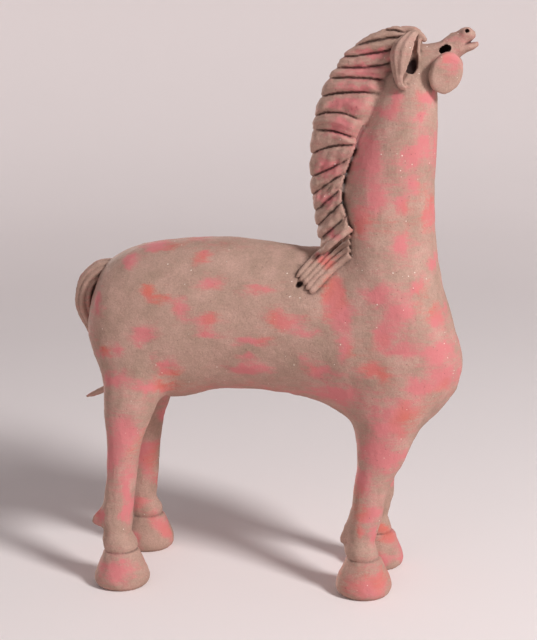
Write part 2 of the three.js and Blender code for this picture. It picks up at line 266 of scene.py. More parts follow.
def field_of(form, reach):
    """Distance to a form's surface, in mm, in the part of the clay volume around it."""
    points, triangles = form
    band = max(BAND_CELLS, reach / GRIT + 1)
    start = np.floor((points.min(0) - reach) / GRIT).astype(int) - clay_origin
    stop = np.ceil((points.max(0) + reach) / GRIT).astype(int) - clay_origin + 1
    start, stop = np.maximum(start, 0), np.minimum(stop, clay_shape)
    grid = openvdb.FloatGrid.createLevelSetFromPolygons(
        points.astype(np.float32),
        triangles=triangles.astype(np.uint32),
        transform=openvdb.createLinearTransform(voxelSize=GRIT),
        halfWidth=band,
    )
    field = np.empty(stop - start, np.float32)
    grid.copyToArray(field, ijk=tuple(int(v) for v in start + clay_origin))
    field[field > (band - 0.5) * GRIT] = FAR
    return field, tuple(slice(int(a), int(b)) for a, b in zip(start, stop))


def press_on(form, fillet, reach=6.0, relief=None):
    """Adds a form to the clay and smooths the join over about the fillet, in mm."""
    field, where = field_of(form, max(fillet, reach) + GRIT)
    if relief is not None:
        field = field - relief[where[0], None, where[2]]
    here = lump[where]
    near = np.clip(fillet - np.abs(here - field), 0, None)
    lump[where] = np.minimum(here, field) - near**2 / (4 * fillet)


def pierce(form, softness):
    """Cuts a soft-edged hole and remembers how deep its walls lie under the clay's skin."""
    field, where = field_of(form, softness + GRIT)
    under_skin[where] = np.maximum(under_skin[where], -lump[where])
    here = lump[where]
    near = np.clip(softness - np.abs(here + field), 0, None)
    lump[where] = np.maximum(here, -field) + near**2 / (4 * softness)


def between_lines(table, count, sides=96):
    """A limb between a back line and an under line in the middle plane."""
    rows = flowing(table, count)
    flat = np.zeros(count)
    back = np.stack([rows[:, 0], flat, rows[:, 1]], 1)
    under = np.stack([rows[:, 2], flat, rows[:, 3]], 1)
    width = np.stack([flat, rows[:, 4], flat], 1)
    return skin(ovals((back + under) / 2, (under - back) / 2, width, sides))


press_on(between_lines(BACK_AND_BELLY, BODY_RINGS), 1, REACH)

# ---- Legs and hooves ----------------------------------------------------------------------
# Four thick rolls of clay, thinned by hand towards the pastern, each with a flap pinched out
# behind the fetlock. They stand in bell-shaped hooves with a line scored at the coronet.
HIND_LEG = [  # z, x, distance from the middle plane, half depth, half width
    (232, -118, 22, 30, 24),
    (205, -119, 28, 29, 23.5),
    (180, -121, 35, 26.5, 20.5),
    (157, -124.5, 40, 21.5, 17),
    (140, -127, 42, 17.3, 15),
    (122, -128.6, 43.5, 14.7, 13.7),
    (100, -130.2, 45.5, 13.8, 13),
    (80, -132.5, 47, 14, 13.2),
    (62, -134, 48.5, 14, 13.5),
    (51, -134, 49.3, 13, 13),
    (43, -132, 49.8, 15.5, 15.2),
    (37, -131, 50, 15.8, 15.8),
    (33.5, -131, 50, 14.2, 14.2),
]
FORE_LEG = [
    (215, 122, 20, 40, 30),
    (180, 118, 24, 37, 28),
    (155, 112, 27, 29, 24),
    (135, 109, 29.5, 24, 19),
    (118, 105.5, 31.5, 19.5, 16),
    (103, 100.5, 33, 16, 14),
    (88, 97.5, 34, 14.8, 13.3),
    (74, 95.7, 35, 15, 13.3),
    (60, 92.5, 36, 14, 13.3),
    (50, 91, 36.6, 12.8, 13),
    (43, 91, 37, 14.5, 14.7),
    (37, 92, 37, 15.2, 15.2),
    (33.5, 93, 37, 13.9, 13.9),
]
LEFT_FORE_LEAD = 7
LEG_RINGS, HOOF_RINGS, FLAP_RINGS = 70, 40, 12
LEG_JOIN, HOOF_JOIN, FLAP_JOIN = 16, 0.7, 5
LEAD_FROM, LEAD_OVER = 160, 120  # a leg's lead starts at this height and grows over this much
FLAP_HALF_ROOT, FLAP_THINS_BY = 5.5, 2.5
HOOF = [  # z, radius
    (0, 19.5),
    (0.8, 22),
    (3, 24.4),
    (8, 25.5),
    (14, 24.2),
    (21, 21.2),
    (28, 18),
    (32, 16.4),
    (34, 13.8),
]
HIND_HOOF = (-130, 50)  # x, distance from the middle plane
FORE_HOOF = (94, 37)
HIND_FLAP = (-134, 48, (2, 68), (-23.5, 57), 28, 10)  # x, distance, root, tip, width at each
FORE_FLAP = (92.5, 35.5, (-1, 70), (-20, 46), 22, 8)


def upright(z, x, y, deep, wide, sides=48):
    """A limb through level ovals."""
    flat = np.zeros(len(z))
    centres = np.stack([x, y, z], 1)
    return skin(ovals(centres, np.stack([deep, flat, flat], 1), np.stack([flat, wide, flat], 1), sides))


def leg(table, side, lead):
    """One leg on one side, its foot moved forward by the lead."""
    rows = flowing(table, LEG_RINGS)
    ease = np.clip((LEAD_FROM - rows[:, 0]) / LEAD_OVER, 0, 1)
    shift = lead * ease**2 * (3 - 2 * ease)
    roll = upright(rows[:, 0], rows[:, 1] + shift, side * rows[:, 2], rows[:, 3], rows[:, 4])
    press_on(roll, LEG_JOIN, REACH)


def hoof(x, y):
    """One bell of clay; the leg sinks into its top, which leaves the line at the coronet."""
    z, radius = flowing(HOOF, HOOF_RINGS).T
    z = np.maximum(z, 0)
    bell = upright(z, np.full(HOOF_RINGS, x), np.full(HOOF_RINGS, y), radius, radius)
    press_on(bell, HOOF_JOIN)


def fetlock_flap(x, y, root, tip, wide_root, wide_tip):
    """A flap of clay from its root, inside the leg, to its free edge; root and tip are x, z."""
    t = np.linspace(0, 1, FLAP_RINGS)
    line_x = x + root[0] + (tip[0] - root[0]) * t
    line_z = root[1] + (tip[1] - root[1]) * t
    line = np.stack([line_x, np.full(FLAP_RINGS, y), line_z], 1)
    aim = np.array([tip[0] - root[0], 0, tip[1] - root[1]], float)
    across = np.array([-aim[2], 0, aim[0]]) / np.linalg.norm(aim)
    rounding = np.sqrt(1 - np.clip((t - 0.7) / 0.31, 0, 1) ** 2)
    height = (wide_root + (wide_tip - wide_root) * t) * rounding / 2
    thick = (FLAP_HALF_ROOT - FLAP_THINS_BY * t) * rounding
    sideways = np.array([0, 1.0, 0])
    flap = ovals(line, across * height[:, None], sideways * thick[:, None], 24)
    press_on(skin(flap), FLAP_JOIN)


for side in (-1, 1):
    lead = LEFT_FORE_LEAD if side > 0 else 0
    leg(HIND_LEG, side, 0)
    leg(FORE_LEG, side, lead)
    hoof(HIND_HOOF[0], side * HIND_HOOF[1])
    hoof(FORE_HOOF[0] + lead, side * FORE_HOOF[1])
    fetlock_flap(HIND_FLAP[0], side * HIND_FLAP[1], *HIND_FLAP[2:])
    fetlock_flap(FORE_FLAP[0] + lead, side * FORE_FLAP[1], *FORE_FLAP[2:])

# ---- Head ---------------------------------------------------------------------------------
# A small head thrown up, pinched to a narrow muzzle with an open mouth, nostrils poked in
# with a stick and eyes cut through as slanted drops with a raised lid.
SKULL = [  # top x, top z, under x, under z, half width
    (116, 484, 130, 458, 14),
    (128, 491.5, 143, 455, 20),
    (141, 492.5, 155, 461, 18),
    (150, 494.5, 162, 471, 14.5),
    (156, 498.5, 167, 480, 10.5),
    (163, 502, 171, 486, 9),
    (169, 505.5, 173.5, 491.5, 8.5),
    (175, 506.5, 178, 495.5, 8.2),
    (180.5, 503, 180.8, 498, 5),
]
LOWER_JAW = [
    (160, 490, 166, 480, 8),
    (170, 492, 173, 484.5, 7.2),
    (177, 493, 179, 487.5, 6.3),
    (183, 494, 183.2, 490.5, 3.8),
]
SKULL_JOIN, JAW_JOIN = 7, 1.5
STICK_EDGE = 0.6  # how soft the stick leaves the edge of a hole


def ball(centre, radii, tilt=0.0, turn=0.0):
    """An egg of clay; tilt raises its +X end, turn swings it about the upright."""
    rise = np.linspace(-math.pi / 2, math.pi / 2, 18)[1:-1]
    flat = np.zeros(16)
    along = np.stack([np.sin(rise) * radii[0], flat, flat], 1)
    a = np.stack([flat, np.cos(rise) * radii[1], flat], 1)
    b = np.stack([flat, flat, np.cos(rise) * radii[2]], 1)
    points, triangles = skin(ovals(along, a, b, 24))
    c, s = math.cos(tilt), math.sin(tilt)
    points = points @ np.array([[c, 0, s], [0, 1, 0], [-s, 0, c]])
    c, s = math.cos(turn), math.sin(turn)
    points = points @ np.array([[c, s, 0], [-s, c, 0], [0, 0, 1]])
    return points + np.array(centre), triangles


press_on(between_lines(SKULL, 60, 48), SKULL_JOIN)
press_on(between_lines(LOWER_JAW, 30, 32), JAW_JOIN)
press_on(ball((160.5, 0, 499.5), (2.6, 2.6, 2.2)), 2)  # a pinch of clay on the brow
for side in (-1, 1):
    press_on(ball((172.5, side * 5, 501.5), (4.6, 4, 4.2), 0.4), 3)  # the nostril's rim
    press_on(ball((155.3, side * 12.2, 486.8), (7.2, 3.2, 4.4), 0.45, -0.2 * side), 1.2)  # eyelid
for side in (-1, 1):
    pierce(ball((173.3, side * 7.5, 503), (1.7, 4.5, 1.5), 0.4), STICK_EDGE)  # the nostril
    pierce(ball((155, side * 12, 487.3), (5.2, 9.5, 3.3), 0.5, -0.2 * side), STICK_EDGE)  # the eye
    pierce(ball((154.5, side * 7.5, 486), (5, 5.5, 3.4)), STICK_EDGE)  # the hollow behind it

# ---- Cheek coins --------------------------------------------------------------------------
# A thick coin of clay on each jaw, egg-shaped, its face turned a little forward and down. A wad
# of soft clay behind it holds it to the jaw and throat.
COIN_RADIUS = 17.0
COIN_THICK = 8.0
COIN_X, COIN_FROM_MIDDLE, COIN_Z = 156.5, 20.5, 467.5
COIN_TURN = math.radians(33)
COIN_DROOP = 0.26
COIN_NARROW, COIN_TALL = 0.94, 1.06
COIN_RIM = [0, 0.72, 0.92, 1, 1, 0.93, 0.74, 0]  # parts of the radius, from the back to the face
COIN_STEPS = [-0.5, -0.5, -0.42, -0.22, 0.22, 0.42, 0.5, 0.5]  # parts of the thickness
WAD_X, WAD_FROM_MIDDLE, WAD_Z = 151, 10, 474
WAD_RADII = (9, 13, 9)
WAD_JOIN, COIN_JOIN = 2, 1.2
for side in (-1, 1):
    edge = np.array(COIN_RIM)[:, None] * COIN_RADIUS
    depth = np.array(COIN_STEPS)[:, None] * COIN_THICK
    outwards = np.array([math.sin(COIN_TURN), side * math.cos(COIN_TURN), -COIN_DROOP])
    outwards /= np.linalg.norm(outwards)
    sideways = np.cross([0, 0, 1.0], outwards)
    sideways /= np.linalg.norm(sideways)
    upwards = np.cross(outwards, sideways)
    centres = np.array([COIN_X, side * COIN_FROM_MIDDLE, COIN_Z]) + depth * outwards
    press_on(ball((WAD_X, side * WAD_FROM_MIDDLE, WAD_Z), WAD_RADII), WAD_JOIN)
    coin = ovals(centres, sideways * edge * COIN_NARROW, upwards * edge * COIN_TALL, 48)
    press_on(skin(coin), COIN_JOIN)

# ---- Ears ---------------------------------------------------------------------------------
# Leaves of clay rolled into scoops that open outwards and forwards, pinched along the back,
# their tips drooping against the neck. The ear hole is poked in with the same stick.
EAR = [  # x, distance from the middle plane, z, radius
    (131, 12, 500, 5),
    (127, 17, 494, 9),
    (122.5, 22, 484, 12.3),
    (120.5, 26, 472, 10),
    (119, 29, 463, 6),
    (120, 31, 457.5, 3.8),
    (124, 32, 455.5, 2.6),
]
EAR_WALL = 3.4
EAR_MOUTH = math.radians(36)  # half the angle left open
EAR_FACES = math.radians(66)  # how far the mouth is turned forward
EAR_RIDGES = 10
EAR_RIDGE = 1.3  # the height that the pinching fingers left along the back
for side in (-1, 1):
    x, y, z, radius = flowing(EAR, 40).T
    centres = np.stack([x, side * y, z], 1)
    along = np.gradient(centres, axis=0)
    along /= np.linalg.norm(along, axis=1, keepdims=True)
    mouth = np.array([math.sin(EAR_FACES), side * math.cos(EAR_FACES), 0.0])
    across = np.cross(along, mouth)
    across /= np.linalg.norm(across, axis=1, keepdims=True)
    front = np.cross(across, along)
    front *= np.sign(front @ mouth)[:, None]
    sweep = np.linspace(EAR_MOUTH, 2 * math.pi - EAR_MOUTH, 72)
    wall = np.minimum(EAR_WALL, radius * 0.7)
    ridges = EAR_RIDGE * np.cos(EAR_RIDGES * sweep) * np.sin(sweep / 2) ** 2
    outer = radius[:, None] + ridges * np.clip(radius / 8, 0, 1)[:, None]
    inner = np.repeat((radius - wall)[:, None], len(sweep), axis=1)
    reach_out = np.concatenate([outer, inner[:, ::-1]], 1)[:, :, None]
    angle = np.concatenate([sweep, sweep[::-1]])[None, :, None]
    around = np.cos(angle) * front[:, None] + np.sin(angle) * across[:, None]
    press_on(skin(centres[:, None] + reach_out * around), 1.0)
    pierce(ball((127, side * 22.5, 478), (6.5, 7, 12)), STICK_EDGE)  # the ear hole

# ---- Mane ---------------------------------------------------------------------------------
# A sheet of clay that stands up along the neck, pressed on at its root, and scored and pinched
# into long locks. Below the neck it hangs free, turns over at the withers and is pressed onto
# the right shoulder in a small bundle.
MANE_CREASES = [  # root x, y, z by the neck, tip x, y, z at the free edge, rise of the middle
    (126, -5, 502, 115, -5, 507.5, 0),
    (126, -6, 500, 97, -5, 503, 2),
    (125, -8, 498, 77, -5, 490.5, 2),
    (123, -10, 491, 67, -5, 481.5, -2),
    (114, -15, 477, 61, -6, 472, -2),
    (106, -18, 461, 55, -6, 463, 1.5),
    (104, -22, 449, 48, -6, 447, 3),
    (88, -26, 425, 43, -7, 430, 6),
    (81, -25, 411, 41, -9, 418, 3),
    (80, -25, 406, 40, -9, 397, 3),
    (76, -24, 395, 40, -10, 377, -1),
    (71, -23, 381, 42, -12, 361, 1),
    (68, -24, 368, 44, -14, 347, -1),
    (69, -27, 356, 47, -18, 334, 0),
    (73, -31, 344, 50, -23, 323, 0),
    (76, -36, 332, 53, -29, 312, 0),
]
PRESSED_ROWS = 8  # the locks above this crease are pressed onto the neck, the rest hang free
MANE_HALF_THICK = 3.0
MANE_JOIN = 3.5
LOCK_RISE = 3.0  # how far the middle of a lock stands above the creases
CREASE_DEEP = 1.3
CREASE_PART = 0.16  # the part of a lock's width that its crease takes up
WRINKLE_RISE = 1.5  # fine wrinkles wander along the locks
WRINKLE_APART, WRINKLE_LONG = 4.2, 16.0
LOCK_WIDE, LOCK_LONG = 15, 80  # about what one lock measures, which sets the wrinkles' scale
ROWS_A_LOCK = 24
FOLD_LOCKS = 5
FOLD_JOIN = 0.5
rows = flowing(MANE_CREASES, ROWS_A_LOCK * (len(MANE_CREASES) - 1) + 1)
row_number = np.linspace(0, len(MANE_CREASES) - 1, len(rows))[:, None]


def wavering(at, size, seed):
    """Smooth noise from -1 to 1 with features of one size, in mm."""
    return np.array([noise.noise(Vector(p) / size + Vector((seed, -seed, seed * 2))) for p in at])


def mane_sheet(t):
    """The middle of the sheet on every row, at parts t of the way from the root to the tip."""
    root, tip = rows[:, None, 0:3], rows[:, None, 3:6]
    bow = np.stack([np.zeros(len(rows)), np.full(len(rows), -1.0), rows[:, 6]], 1)
    t = t[None, :, None]
    return root + (tip - root) * t + bow[:, None] * 4 * t * (1 - t)


# Where the sheet is pressed on, it spreads out at the root, and its free edge is rounded.
t = np.linspace(0, 1, 36)
free = np.clip((row_number - PRESSED_ROWS) / 1.5, 0, 1)
root_part = (0.15 + 0.6 * free) + t * (4 - 3 * free)
tip_part = np.sqrt(1 - 0.97 * np.clip((t - 0.92) / 0.08, 0, 1) ** 2)
half = MANE_HALF_THICK * np.minimum(root_part, 1) * tip_part
middle = mane_sheet(t)
middle[:, :, 1] += 4 * (1 - free) * np.clip(1 - t / 0.25, 0, 1) ** 2
face = np.stack([np.zeros_like(half), half, np.zeros_like(half)], 2)
sheet = skin(np.concatenate([middle + face, (middle - face)[:, ::-1]], 1))

# The locks are a relief over the sheet's own plane, high in the middle and low at the creases.
t = np.linspace(0, 1.06, 190)
spot = mane_sheet(t)
across_lock = 1 - np.abs(2 * (row_number % 1) - 1)
rise = LOCK_RISE * (1 - (1 - across_lock) ** 1.9) * (0.8 + 0.4 * (np.floor(row_number) * 0.37 % 1))
rise = rise - CREASE_DEEP * np.clip(1 - across_lock / CREASE_PART, 0, 1)
drawn_out = LOCK_LONG * WRINKLE_APART / WRINKLE_LONG * t
down_mane, along_lock = np.broadcast_arrays(LOCK_WIDE * row_number, drawn_out)
wrinkle_at = np.stack([down_mane, along_lock, np.zeros_like(along_lock)], 2).reshape(-1, 3)
rise = rise + WRINKLE_RISE * wavering(wrinkle_at, WRINKLE_APART, 4).reshape(down_mane.shape)
fade_root = np.clip(t / 0.16, 0, 1) * (1 - free) + free
rise = rise * fade_root * (1 - 0.45 * np.clip((t - 0.85) / 0.15, 0, 1))
relief = np.zeros(clay_shape[[0, 2]])
count = np.zeros_like(relief)
cell_x = np.rint(spot[:, :, 0] / GRIT - clay_origin[0]).astype(int)
cell_z = np.rint(spot[:, :, 2] / GRIT - clay_origin[2]).astype(int)
np.add.at(relief, (cell_x, cell_z), rise)
np.add.at(count, (cell_x, cell_z), 1)
relief /= np.maximum(count, 1)
press_on(sheet, MANE_JOIN, relief=relief)


def clay_roll_tree():
    """Rolls of clay along every curve of an object, as wide as each curve's radius says."""
    tree = bpy.data.node_groups.new("clay_rolls_along_curves", "GeometryNodeTree")
    face = tree.interface
    face.new_socket("Geometry", in_out="OUTPUT", socket_type="NodeSocketGeometry")
    face.new_socket("Geometry", in_out="INPUT", socket_type="NodeSocketGeometry")
    sizes = {
        "Thickness": 1.0,
        "Edge Rounding": 0.5,
        "Wobble": 0.2,
        "Wobble Size": 14.0,
        "Blunt End": 0.06,
    }
    for name, value in sizes.items():
        face.new_socket(name, in_out="INPUT", socket_type="NodeSocketFloat").default_value = value
    face.new_socket("Seed", in_out="INPUT", socket_type="NodeSocketInt").default_value = 3
    face.new_socket("Clay", in_out="INPUT", socket_type="NodeSocketMaterial")
    given = node(tree, "NodeGroupInput").outputs

    along = node(tree, "GeometryNodeSplineParameter").outputs["Factor"]
    left = node(tree, "ShaderNodeMath", {0: 1.0, 1: along}, operation="SUBTRACT").outputs[0]
    left = node(tree, "ShaderNodeMath", {0: left, 1: given["Blunt End"]}, operation="DIVIDE").outputs[0]
    left = node(tree, "ShaderNodeClamp", {"Value": left, "Min": 0.1, "Max": 1.0}).outputs[0]
    rounded = node(tree, "ShaderNodeMath", {0: left, 1: 0.5}, operation="POWER").outputs[0]
    scale = node(tree, "ShaderNodeMath", {0: 1.0, 1: given["Wobble Size"]}, operation="DIVIDE").outputs[0]
    lumpy = {"Scale": scale, "W": given["Seed"], "Detail": 1.0}
    lumpy = node(tree, "ShaderNodeTexNoise", lumpy, noise_dimensions="4D").outputs["Fac"]
    lumpy = node(tree, "ShaderNodeMath", {0: lumpy, 1: 0.5}, operation="SUBTRACT").outputs[0]
    lumpy = {0: lumpy, 1: given["Wobble"], 2: 1.0}
    lumpy = node(tree, "ShaderNodeMath", lumpy, operation="MULTIPLY_ADD").outputs[0]
    wide = node(tree, "GeometryNodeInputRadius").outputs[0]
    wide = node(tree, "ShaderNodeMath", {0: wide, 1: lumpy}, operation="MULTIPLY").outputs[0]
    wide = node(tree, "ShaderNodeMath", {0: wide, 1: rounded}, operation="MULTIPLY").outputs[0]

    path = node(tree, "GeometryNodeResampleCurve", {"Curve": given["Geometry"], "Count": 48})
    level = node(tree, "GeometryNodeSetCurveNormal", {"Curve": path.outputs[0]}, mode="Z_UP")
    section = {"Width": 1.0, "Height": given["Thickness"]}
    section = node(tree, "GeometryNodeCurvePrimitiveQuadrilateral", section).outputs[0]
    section = {"Curve": section, "Count": 6, "Radius": given["Edge Rounding"], "Limit Radius": True}
    section = node(tree, "GeometryNodeFilletCurve", section, mode="POLY").outputs[0]
    rolls = {"Curve": level.outputs[0], "Profile Curve": section, "Scale": wide, "Fill Caps": True}
    rolls = node(tree, "GeometryNodeCurveToMesh", rolls)
    real = node(tree, "GeometryNodeRealizeInstances", {"Geometry": rolls.outputs[0]})
    coated = node(tree, "GeometryNodeSetMaterial", {"Geometry": real.outputs[0], "Material": given["Clay"]})
    node(tree, "NodeGroupOutput", {"Geometry": coated.outputs[0]})
    return tree


clay_rolls = clay_roll_tree()


def rolled(name, path, **sizes):
    """The form that the roll tree makes along a path of x, y, z, width rows."""
    curve = bpy.data.curves.new(name, "CURVE")
    curve.dimensions = "3D"
    spline = curve.splines.new("POLY")
    spline.points.add(len(path) - 1)
    spline.points.foreach_set("co", np.hstack([path[:, :3], np.ones((len(path), 1))]).ravel())
    spline.points.foreach_set("radius", np.ascontiguousarray(path[:, 3]))
    obj = bpy.data.objects.new(name, curve)
    bpy.context.scene.collection.objects.link(obj)
    modifier = obj.modifiers.new("rolls", "NODES")
    modifier.node_group = clay_rolls
    sockets = {s.name: s.identifier for s in clay_rolls.interface.items_tree if s.in_out == "INPUT"}
    modifier[sockets["Clay"]] = fired_clay
    for key, value in sizes.items():
        modifier[sockets[key.replace("_", " ").title()]] = value
    mesh = bpy.data.meshes.new_from_object(obj.evaluated_get(bpy.context.evaluated_depsgraph_get()))
    mesh.calc_loop_triangles()
    points = np.empty(len(mesh.vertices) * 3, np.float32)
    mesh.vertices.foreach_get("co", points)
    triangles = np.empty(len(mesh.loop_triangles) * 3, np.int32)
    mesh.loop_triangles.foreach_get("vertices", triangles)
    bpy.data.objects.remove(obj)
    bpy.data.meshes.remove(mesh)
    return points.reshape(-1, 3).astype(float), triangles.reshape(-1, 3)


def laid_on_right_side(path, proud):
    """The path moved out to the clay's right side, its middle standing proud by so much."""
    i = np.rint(path[:, 0] / GRIT - clay_origin[0]).astype(int)
    k = np.rint(path[:, 2] / GRIT - clay_origin[2]).astype(int)
    surface = (np.argmax(lump[i, :, k] < 0, axis=1) + clay_origin[1]) * GRIT
    padded = np.pad(surface, 5, mode="edge")
    smooth = np.convolve(padded, np.full(11, 1 / 11), mode="valid")
    return np.column_stack([path[:, 0], smooth - proud, path[:, 2:]])


# The end of the mane: a bundle of locks laid down the shoulder, with a finger hole at its end.
for i in range(FOLD_LOCKS):
    path = [  # x, y, z, width
        (78, 0, 335 - 6 * i, 5.6),
        (56 + 1.5 * i, 0, 316 - 4.6 * i, 5.2),
        (31 + 3.3 * i, 0, 291 - 3.1 * i, 4.6),
    ]
    laid = laid_on_right_side(flowing(path, 60), np.linspace(1, 3, 60))
    press_on(rolled("mane_fold", laid, Thickness=1.2), FOLD_JOIN)
pierce(ball((34, -43, 285), (4.5, 6, 3.2), 0.6), STICK_EDGE)

# A short roll on the poll ends in a nub over the brow.
POLL_ROLL = [  # x, y, z, width
    (117, -7, 504, 7),
    (127, -8.5, 503.5, 7),
    (134, -10, 499.5, 6),
    (139, -12, 493.5, 4.5),
]
press_on(rolled("poll_roll", flowing(POLL_ROLL, 30)), 1)

# ---- Tail ---------------------------------------------------------------------------------
# A bundle of clay rolls that arches off the rump, is laid down against the left thigh and
# ends in a free tip.
TAIL = [  # x, y, z, spread of the rolls
    (-134, 0, 291, 5),
    (-155, 0, 288.5, 6),
    (-170, 1, 275, 7),
    (-175, 5, 253, 7),
    (-168, 17, 225, 5.5),
    (-159, 33, 198, 4),
    (-157, 42, 178, 3),
    (-168, 47, 163, 2),
    (-191, 51, 151, 0.5),
]
TAIL_ROLLS = 9
TAIL_ROLL_WIDTH = 6.0
TAIL_THINS_BY = 0.5  # the part of a roll's width that is gone at the tip
BUNDLE_FLAT = 1.5  # how much wider than high the bundle is
CORE_PLACES = (-0.75, 0, 0.75)  # three thick rolls side by side fill the bundle
CORE_WIDTH = 1.8  # each one's width, as a part of the bundle's spread
TAIL_JOIN = 0.6
core = flowing(TAIL, 60)
forwards = np.gradient(core[:, :3], axis=0)
forwards /= np.linalg.norm(forwards, axis=1, keepdims=True)
outward = np.cross(forwards, [0, 1.0, 0])
outward /= np.linalg.norm(outward, axis=1, keepdims=True)
aside = np.cross(forwards, outward)
for place in CORE_PLACES:
    inner = np.column_stack([core[:, :3] + place * core[:, 3:4] * aside, CORE_WIDTH * core[:, 3]])
    press_on(rolled("tail_core", inner), TAIL_JOIN)
for i in range(TAIL_ROLLS):
    angle = 2 * math.pi * (i + 0.25) / TAIL_ROLLS
    away = core[:, 3:4] * (math.cos(angle) * outward + BUNDLE_FLAT * math.sin(angle) * aside)
    thinning = TAIL_ROLL_WIDTH * (1 - TAIL_THINS_BY * np.linspace(0, 1, len(core)) ** 2)
    roll = np.column_stack([core[:, :3] + away, thinning])
    press_on(rolled("tail_roll", roll), TAIL_JOIN)

# ---- The figure, dried and fired ----------------------------------------------------------
# The clay is one solid skin. Hand marks and uneven drying leave it slightly dented, and the
# soles are rubbed flat on the board it dried on.
SOLE_BAND = 0.7  # mm above the board that are rubbed flat
MOST_TRIANGLES = 185000


def solid_from(volume):
    """The clay's outer skin as a Blender mesh, in metres, in the part's own frame."""
    grid = openvdb.FloatGrid(FAR)
    grid.copyFromArray(volume, ijk=tuple(int(v) for v in clay_origin), tolerance=0)
    grid.transform = openvdb.createLinearTransform(voxelSize=GRIT)
    points, quads = grid.convertToQuads(0.0)
    a, b, c, d = (points[quads[:, k]].astype(float) for k in range(4))
    inside_out = np.einsum("ij,ij->i", a, np.cross(b, c) + np.cross(c, d)).sum() < 0
    if inside_out:
        quads = quads[:, ::-1]
    # Each point takes the lowest number that its skin holds, and the largest skin is kept, so an
    # air pocket between two rolls is filled.
    shell = np.arange(len(points))
    settled = False
    while not settled:
        joined = shell.copy()
        lowest = shell[quads].min(1)
        for corner in range(4):
            np.minimum.at(joined, quads[:, corner], lowest)
        joined = joined[joined]
        settled = np.array_equal(joined, shell)
        shell = joined
    outer = shell == np.bincount(shell).argmax()
    quads = (np.cumsum(outer) - 1)[quads[outer[quads[:, 0]]]]
    points = points[outer]
    points[points[:, 2] < SOLE_BAND, 2] = 0
    mesh = bpy.data.meshes.new("haniwa_horse_clay")
    mesh.vertices.add(len(points))
    mesh.vertices.foreach_set("co", (points * MM + np.array(plumb)).astype(np.float32).ravel())
    mesh.loops.add(quads.size)
    mesh.loops.foreach_set("vertex_index", quads.astype(np.int32).ravel())
    mesh.polygons.add(len(quads))
    mesh.polygons.foreach_set("loop_start", np.arange(0, quads.size, 4, dtype=np.int32))
    mesh.update(calc_edges=True)
    mesh.validate()
    return mesh


def hand_mark_tree():
    """Dents from the hands and a coarse grain, along the normal, fading out at the soles."""
    tree = bpy.data.node_groups.new("hand_marks", "GeometryNodeTree")
    face = tree.interface
    face.new_socket("Geometry", in_out="OUTPUT", socket_type="NodeSocketGeometry")
    face.new_socket("Geometry", in_out="INPUT", socket_type="NodeSocketGeometry")
    sizes = {
        "Dent Size": 26 * MM,
        "Dent Depth": 2.8 * MM,
        "Grain Size": 4 * MM,
        "Grain Depth": 0.95 * MM,
        "Pinch Size": 11 * MM,
        "Pinch Depth": 2.1 * MM,
    }
    for name, value in sizes.items():
        face.new_socket(name, in_out="INPUT", socket_type="NodeSocketFloat").default_value = value
    face.new_socket("Seed", in_out="INPUT", socket_type="NodeSocketInt").default_value = 7
    face.new_socket("Clay", in_out="INPUT", socket_type="NodeSocketMaterial")
    given = node(tree, "NodeGroupInput").outputs

    depth = 0.0
    for mark in ("Dent", "Pinch", "Grain"):
        scale = {0: 1.0, 1: given[mark + " Size"]}
        scale = node(tree, "ShaderNodeMath", scale, operation="DIVIDE").outputs[0]
        lumps = {"Scale": scale, "W": given["Seed"], "Detail": 2.0}
        lumps = node(tree, "ShaderNodeTexNoise", lumps, noise_dimensions="4D").outputs["Fac"]
        lumps = node(tree, "ShaderNodeMath", {0: lumps, 1: 0.5}, operation="SUBTRACT").outputs[0]
        lumps = {0: lumps, 1: given[mark + " Depth"], 2: depth}
        depth = node(tree, "ShaderNodeMath", lumps, operation="MULTIPLY_ADD").outputs[0]
    height = node(tree, "GeometryNodeInputPosition").outputs[0]
    height = node(tree, "ShaderNodeSeparateXYZ", {0: height}).outputs["Z"]
    fade = {"Value": height, "From Min": 1 * MM, "From Max": 6 * MM}
    fade = node(tree, "ShaderNodeMapRange", fade).outputs["Result"]
    depth = node(tree, "ShaderNodeMath", {0: depth, 1: fade}, operation="MULTIPLY").outputs[0]
    outwards = node(tree, "GeometryNodeInputNormal").outputs[0]
    offset = node(tree, "ShaderNodeVectorMath", {0: outwards, "Scale": depth}, operation="SCALE")
    moved = {"Geometry": given["Geometry"], "Offset": offset.outputs[0]}
    moved = node(tree, "GeometryNodeSetPosition", moved)
    real = node(tree, "GeometryNodeRealizeInstances", {"Geometry": moved.outputs[0]})
    coated = node(tree, "GeometryNodeSetMaterial", {"Geometry": real.outputs[0], "Material": given["Clay"]})
    node(tree, "NodeGroupOutput", {"Geometry": coated.outputs[0]})
    return tree


horse = bpy.data.objects.new("haniwa_horse_clay", solid_from(lump))
bpy.context.scene.collection.objects.link(horse)
thin = horse.modifiers.new("thin", "DECIMATE")
thin.ratio = min(1.0, MOST_TRIANGLES / (2 * len(horse.data.polygons)))
marks = horse.modifiers.new("hand marks", "NODES")
marks.node_group = hand_mark_tree()
clay_socket = next(s for s in marks.node_group.interface.items_tree if s.name == "Clay")
marks[clay_socket.identifier] = fired_clay
finished = bpy.data.meshes.new_from_object(horse.evaluated_get(bpy.context.evaluated_depsgraph_get()))
horse.modifiers.clear()
horse.data = finished
finished.shade_smooth()
